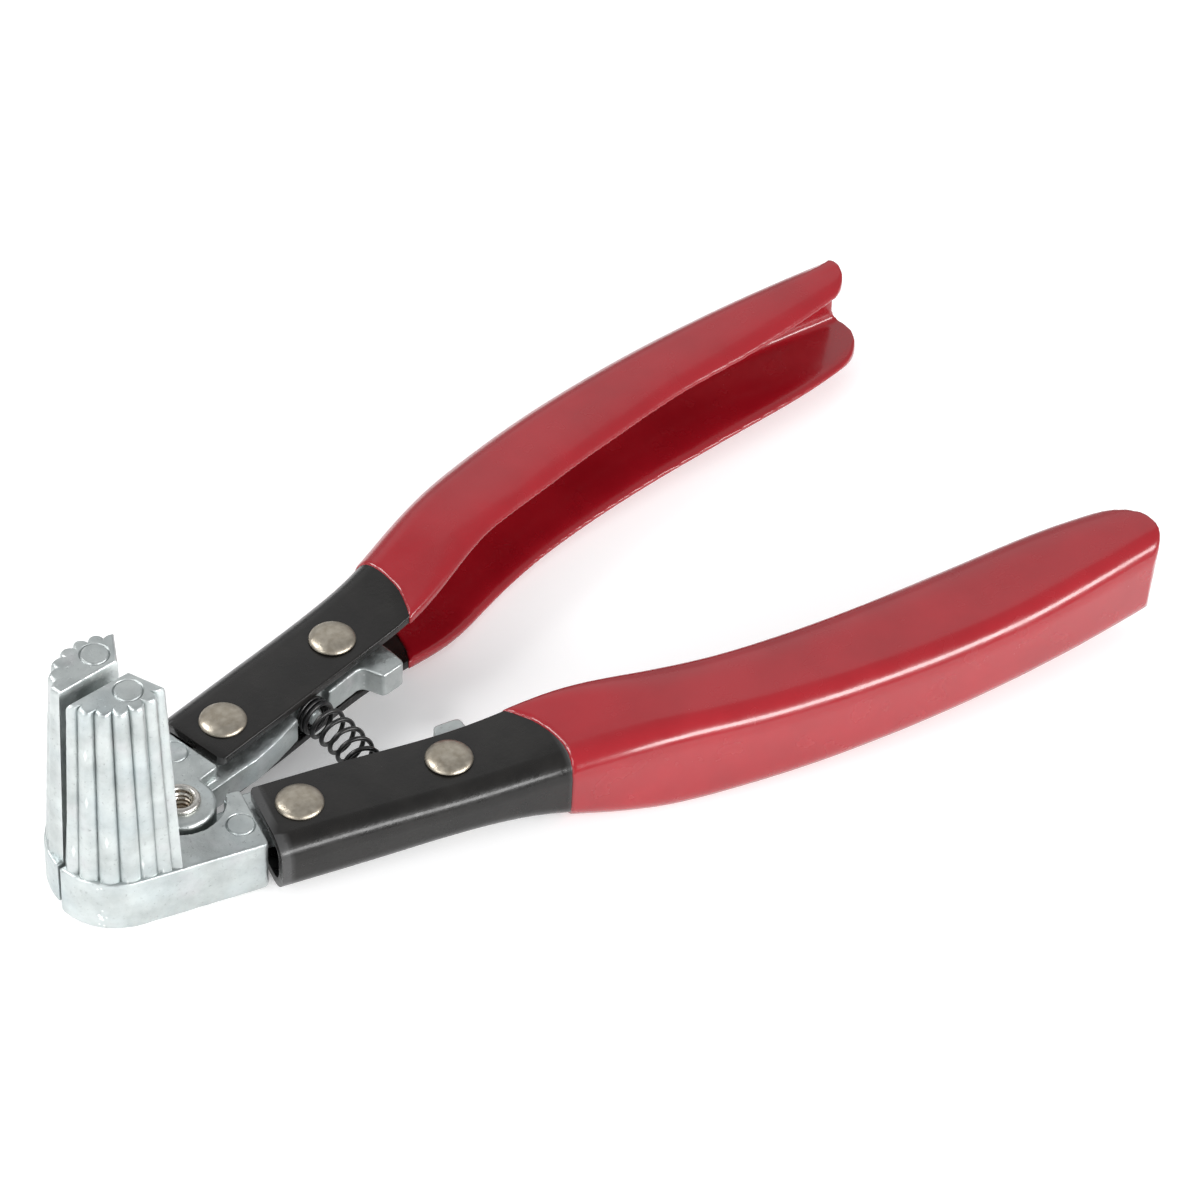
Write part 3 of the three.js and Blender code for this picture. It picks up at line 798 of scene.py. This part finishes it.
class Paint:
    """A node material with short calls for the noise, colour and bump layers of every finish.

    Sizes are in millimetres and colours are linear.
    """

    def __init__(self, name, **sockets):
        self.material = bpy.data.materials.new(name)
        self.material.use_nodes = True
        self.tree = self.material.node_tree
        self.tree.nodes.clear()
        self.shader = self.node("ShaderNodeBsdfPrincipled")
        output = self.node("ShaderNodeOutputMaterial")
        self.link(self.shader.outputs["BSDF"], output.inputs["Surface"])
        for socket, value in sockets.items():
            self.shader.inputs[socket.replace("_", " ")].default_value = value
        self.place = self.node("ShaderNodeTexCoord").outputs["Object"]
        self.normal = None

    def node(self, kind, **settings):
        made = self.tree.nodes.new(kind)
        for key, value in settings.items():
            setattr(made, key, value)
        return made

    def link(self, source, target):
        self.tree.links.new(source, target)

    def put(self, value, socket):
        """Links an output to a socket, or sets the socket to a number or a colour."""
        if isinstance(value, bpy.types.NodeSocket):
            self.link(value, socket)
        else:
            socket.default_value = value

    def noise(self, size, detail=3.0, roughness=0.55, stretch=None):
        """Noise whose features are about this size."""
        made = self.node("ShaderNodeTexNoise")
        made.inputs["Scale"].default_value = 1 / (size * MM)
        made.inputs["Detail"].default_value = detail
        made.inputs["Roughness"].default_value = roughness
        place = self.place
        if stretch:
            mapping = self.node("ShaderNodeMapping")
            mapping.inputs["Scale"].default_value = stretch
            self.link(place, mapping.inputs["Vector"])
            place = mapping.outputs["Vector"]
        self.link(place, made.inputs["Vector"])
        return made.outputs["Fac"]

    def ramp(self, value, low, high, start=0.0, end=1.0):
        """A value stretched so that low becomes start and high becomes end."""
        made = self.node("ShaderNodeMapRange")
        for socket, number in (("From Min", low), ("From Max", high), ("To Min", start), ("To Max", end)):
            made.inputs[socket].default_value = number
        self.link(value, made.inputs["Value"])
        return made.outputs["Result"]

    def maths(self, operation, first, second):
        made = self.node("ShaderNodeMath", operation=operation)
        self.put(first, made.inputs[0])
        self.put(second, made.inputs[1])
        return made.outputs[0]

    def mix(self, mask, first, second):
        """Two colours mixed by a mask; each is a colour or an output."""
        made = self.node("ShaderNodeMix", data_type="RGBA")
        self.link(mask, made.inputs[0])
        for value, socket in ((first, made.inputs[6]), (second, made.inputs[7])):
            self.put((*value, 1) if isinstance(value, tuple) else value, socket)
        return made.outputs[2]

    def drift(self, size, detail, first, second):
        """A colour that wanders between two over patches of this size."""
        return self.mix(self.ramp(self.noise(size, detail), 0.35, 0.65), first, second)

    def stained(self, mask, strength, colour, stain):
        """A stain laid over a colour where the mask is."""
        return self.mix(self.maths("MULTIPLY", mask, strength), colour, stain)

    def gloss(self, size, detail, least, most):
        """A roughness that wanders between two values over patches of this size."""
        return self.ramp(self.noise(size, detail), 0.3, 0.7, least, most)

    def edges(self, low, high):
        """How far the surface's pointiness has gone from low to high: convex edges if high is over 0.5."""
        return self.ramp(self.node("ShaderNodeNewGeometry").outputs["Pointiness"], low, high)

    def bump(self, height, depth, strength=1.0):
        made = self.node("ShaderNodeBump")
        made.inputs["Distance"].default_value = depth * MM
        made.inputs["Strength"].default_value = strength
        self.link(height, made.inputs["Height"])
        if self.normal is not None:
            self.link(self.normal, made.inputs["Normal"])
        self.normal = made.outputs["Normal"]

    def done(self, colour, roughness=None):
        self.link(colour, self.shader.inputs["Base Color"])
        if roughness is not None:
            self.link(roughness, self.shader.inputs["Roughness"])
        if self.normal is not None:
            self.link(self.normal, self.shader.inputs["Normal"])
        return self.material


def zinc():
    """Zinc plating on a casting: mottled blue-grey, dark pits, painted shade in the hollows, brighter edges.
    """
    paint = Paint("zinc_plated_casting", Metallic=0.92)
    colour = paint.drift(5.0, 5, (0.43, 0.46, 0.455), (0.56, 0.595, 0.585))
    tint = paint.ramp(paint.noise(9.0, 2), 0.45, 0.75, 0, 0.25)
    colour = paint.mix(tint, colour, (0.48, 0.58, 0.62))
    blush = paint.ramp(paint.noise(7.0, 2, stretch=(1.3, 0.8, 1.1)), 0.56, 0.75, 0, 0.22)
    colour = paint.mix(blush, colour, (0.62, 0.56, 0.60))
    pits = paint.ramp(paint.noise(0.55, 4, 0.7), 0.60, 0.74)
    colour = paint.stained(pits, 0.55, colour, (0.16, 0.17, 0.18))
    colour = paint.mix(paint.edges(0.57, 0.68), colour, (0.78, 0.80, 0.79))
    # painted shade: concave hollows and flute valleys darkened where occlusion between the lobes would fall
    colour = paint.stained(paint.edges(0.48, 0.40), 0.35, colour, (0.10, 0.11, 0.12))
    rough = paint.gloss(1.6, 4, 0.30, 0.50)
    paint.bump(paint.noise(0.35, 3, 0.6), 0.035)
    paint.bump(paint.noise(2.2, 3), 0.10, 0.7)
    paint.bump(paint.maths("SUBTRACT", 1.0, pits), 0.05)
    return paint.done(colour, rough)


def black_lacquer():
    """Gloss black lacquer with a fine orange peel, duller patches and slightly worn edges."""
    paint = Paint("black_lacquer", Specular_IOR_Level=0.3, Coat_Weight=0.15, Coat_Roughness=0.06)
    colour = paint.drift(8.0, 3, (0.006, 0.0055, 0.005), (0.011, 0.010, 0.009))
    colour = paint.stained(paint.edges(0.56, 0.66), 0.5, colour, (0.10, 0.10, 0.10))
    rough = paint.gloss(3.0, 4, 0.24, 0.36)
    paint.bump(paint.noise(0.75, 2), 0.030)
    paint.bump(paint.noise(5.0, 2), 0.05, 0.5)
    return paint.done(colour, rough)


def red_dip():
    """Dipped red plastic: saturated, glossy, with a slow waviness left by the dip."""
    paint = Paint("red_dipped_plastic", Coat_Weight=0.3, Coat_Roughness=0.08)
    colour = paint.drift(14.0, 3, (0.245, 0.004, 0.009), (0.285, 0.006, 0.012))
    rough = paint.gloss(6.0, 3, 0.20, 0.30)
    paint.bump(paint.noise(1.6, 1), 0.012)
    paint.bump(paint.noise(8.0, 1), 0.12, 0.6)
    return paint.done(colour, rough)


def nickel():
    """Warm nickel plate on the rivet heads, with small dents and stains."""
    paint = Paint("nickel_plate", Metallic=0.95)
    mottle = paint.ramp(paint.noise(1.4, 4), 0.35, 0.7)
    colour = paint.mix(mottle, (0.34, 0.30, 0.24), (0.47, 0.43, 0.36))
    stain = paint.ramp(paint.noise(0.8, 5, 0.7), 0.55, 0.72)
    colour = paint.stained(stain, 0.45, colour, (0.30, 0.25, 0.19))
    rough = paint.gloss(1.0, 3, 0.30, 0.46)
    paint.bump(paint.noise(1.6, 2), 0.10, 0.8)
    paint.bump(paint.noise(0.3, 2), 0.015)
    return paint.done(colour, rough)


def bright_steel():
    """The rolled pivot: bright worn steel, browner down its bore."""
    paint = Paint("bright_pivot_steel", Metallic=1.0)
    place = paint.node("ShaderNodeSeparateXYZ")
    paint.link(paint.place, place.inputs[0])
    up_the_bore = paint.ramp(place.outputs["Z"], 7.0 * MM, 11.0 * MM)
    colour = paint.mix(up_the_bore, (0.52, 0.42, 0.32), (0.60, 0.58, 0.54))
    grime = paint.ramp(paint.noise(0.7, 4, 0.7), 0.5, 0.7)
    colour = paint.stained(grime, 0.4, colour, (0.22, 0.20, 0.18))
    rough = paint.gloss(0.9, 3, 0.20, 0.38)
    paint.bump(paint.noise(0.4, 3), 0.02)
    return paint.done(colour, rough)


def spring_wire():
    """Black spring wire with a little oil sheen."""
    paint = Paint("spring_wire", Metallic=0.55, Coat_Weight=0.25, Coat_Roughness=0.2)
    colour = paint.drift(1.5, 3, (0.008, 0.008, 0.009), (0.035, 0.034, 0.033))
    rough = paint.gloss(0.6, 3, 0.26, 0.42)
    paint.bump(paint.noise(0.25, 2), 0.01)
    return paint.done(colour, rough)


# ---- assembly ----

finishes = {
    "zinc_casting": zinc(),
    "black_lacquer": black_lacquer(),
    "red_dip": red_dip(),
    "nickel_rivet": nickel(),
    "bright_rivet": bright_steel(),
    "spring_wire": spring_wire(),
}


def dress(piece, slot, node, body=None):
    """Paints a piece, hides the CAD node that it stands for, and makes it ride on its body."""
    piece.data.materials.clear()
    piece.data.materials.append(finishes[slot])
    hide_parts(node)
    if body:
        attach(piece, body)
    return piece


for side, word in SIDES.items():
    body = f"{word}_half"
    dress(jaw(side), "zinc_casting", f"jaw_{word}", body)
    dress(handle(side), "black_lacquer", f"handle_{word}", body)
    dress(grip(side), "red_dip", f"grip_{word}", body)
    for which, station in zip(("nose", "rear"), RIVET_STATIONS):
        dress(rivet(side, which, station), "nickel_rivet", f"rivet_{word}_{which}", body)
dress(pivot(), "bright_rivet", "pivot_rivet", "front_half")
coil = dress(spring(), "spring_wire", "return_spring")
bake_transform(coil)


# ---- floor, light and camera ----


def pale_floor():
    """A plain sheet under the tool, tipped from the jaws' nose to the bellies of the grips.

    The channels' sag is left out, so the soft grips press into it by less than half a millimetre. It also
    glows a little: painted light that lightens the tool's shadow on it.
    """
    nose_x, belly_x, belly_station = -24.0, 84.0, 86
    belly_z = MID - half_height(belly_station) - COAT
    half = 1.5
    corners = [(-half, -half, 0), (half, -half, 0), (half, half, 0), (-half, half, 0)]
    mesh = bpy.data.meshes.new("floor")
    mesh.from_pydata(corners, [], [(0, 1, 2, 3)])
    floor = object_of("floor", mesh)
    floor.rotation_euler = (0, math.atan2(-belly_z, belly_x - nose_x), 0)
    floor.location = (nose_x * MM, 0, -0.02 * MM)
    # painted light: a faint emission makes the floor glow, lightening the tool's cast shadow and lighting
    # its undersides from below
    paint = Paint("pale_floor", Roughness=0.9, Emission_Strength=0.25)
    colour = paint.mix(paint.noise(60.0, 2), (0.86, 0.86, 0.86), (0.90, 0.90, 0.90))
    floor.data.materials.append(paint.done(colour))


def soft_box(name, direction, distance, size, power):
    """A rectangular area light that looks at the middle of the tool from the given direction."""
    light = bpy.data.lights.new(name, "AREA")
    light.shape = "RECTANGLE"
    light.size, light.size_y = size
    light.energy = power
    lamp = bpy.data.objects.new(name, light)
    bpy.context.scene.collection.objects.link(lamp)
    way = Vector(direction).normalized()
    tool_middle = Vector((0.06, 0.0, 0.0))
    lamp.location = tool_middle + way * distance
    lamp.rotation_euler = way.to_track_quat("Z", "Y").to_euler()


def camera():
    """The photograph's own viewpoint: a long lens above the front half, looking back along the handles."""
    azimuth, elevation, roll = math.radians(-38.983), math.radians(43.940), math.radians(3.110)
    across, upward, distance = 68.728, 32.937, 737.03
    flat = math.cos(elevation)
    back = Vector((math.sin(azimuth) * flat, -math.cos(azimuth) * flat, math.sin(elevation)))
    level = Vector((math.cos(azimuth), math.sin(azimuth), 0))
    upright = back.cross(level)
    right = level * math.cos(roll) + upright * math.sin(roll)
    up = upright * math.cos(roll) - level * math.sin(roll)
    data = bpy.data.cameras.new("camera")
    data.lens, data.sensor_width = 135, 36
    data.clip_start, data.clip_end = 0.01, 20
    eye = (right * across + up * upward + back * distance + Vector((0, 0, JAW_HEIGHT))) * MM
    view = bpy.data.objects.new("camera", data)
    bpy.context.scene.collection.objects.link(view)
    view.matrix_world = Matrix.Translation(eye) @ Matrix((right, up, back)).transposed().to_4x4()
    bpy.context.scene.camera = view


def studio():
    """A dim room: a bright strip in front, a faint wall behind, fill from the left and from above."""
    world = bpy.data.worlds.new("studio")
    world.use_nodes = True
    background = world.node_tree.nodes["Background"]
    background.inputs["Color"].default_value = (0.97, 0.98, 1.0, 1)
    background.inputs["Strength"].default_value = 0.46
    bpy.context.scene.world = world
    bpy.context.scene.view_settings.view_transform = "Standard"
    soft_box("front_strip", (0.25, -0.87, 0.42), 1.1, (1.1, 0.24), 14)
    soft_box("far_wall", (0.50, 0.62, 0.62), 1.3, (1.3, 0.8), 1.4)
    soft_box("left_box", (-1.0, -0.15, 0.55), 1.1, (0.5, 0.5), 4)
    soft_box("high_fill", (-0.75, 0.75, 1.0), 1.2, (0.5, 0.5), 8)


pale_floor()
studio()
camera()
